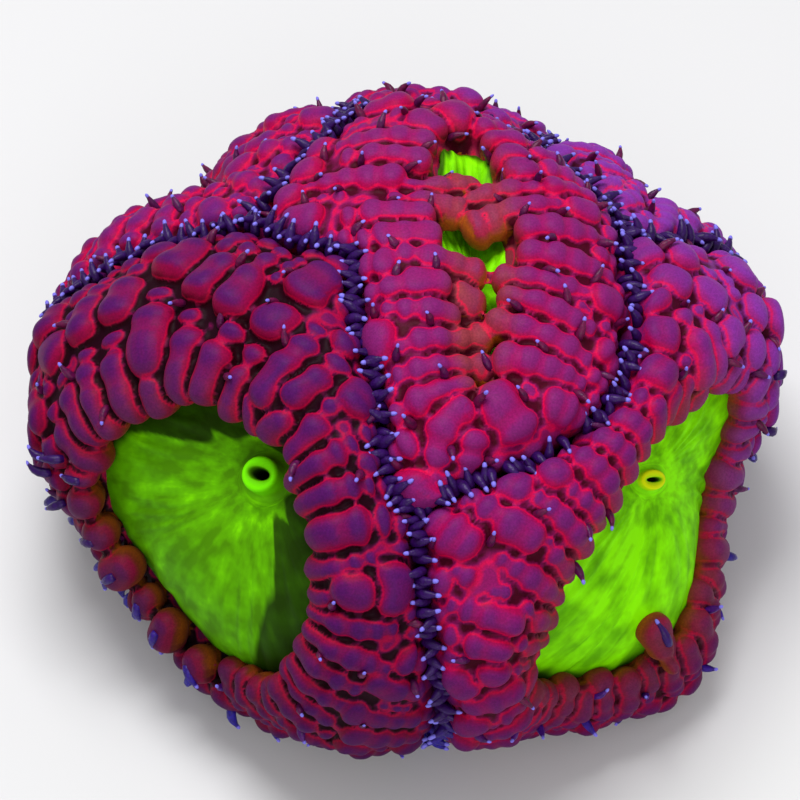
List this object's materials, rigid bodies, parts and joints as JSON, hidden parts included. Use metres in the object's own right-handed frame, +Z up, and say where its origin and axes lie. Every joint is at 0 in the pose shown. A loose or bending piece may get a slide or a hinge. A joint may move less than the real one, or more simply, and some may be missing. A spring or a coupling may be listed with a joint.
{
  "type": "blastomussa coral",
  "caption": "Blastomussa coral colony with fleshy beaded polyps round open oral discs, cut off flat at its foot.",
  "frame": {"origin": "middle of the flat cut at the colony's foot", "axes": "+Z up and away from the cut, +X to the right polyp's side, -Y to the front between the left and right polyps"},
  "size_m": [0.0755, 0.0765, 0.0437],
  "materials": {
    "mantle_flesh": "satin",
    "disc_flesh": "satin",
    "tentacle_flesh": "satin",
    "stony_skeleton": "matte"
  },
  "bodies": {
    "root": {"left_polyp": "mantle_flesh", "left_oral_disc": "disc_flesh", "right_polyp": "mantle_flesh", "right_oral_disc": "disc_flesh", "top_polyp": "mantle_flesh", "top_oral_disc": "disc_flesh", "rear_left_polyp": "mantle_flesh", "rear_left_oral_disc": "disc_flesh", "rear_right_polyp": "mantle_flesh", "rear_right_oral_disc": "disc_flesh", "rear_polyp": "mantle_flesh", "rear_oral_disc": "disc_flesh"}
  },
  "joints": []
}
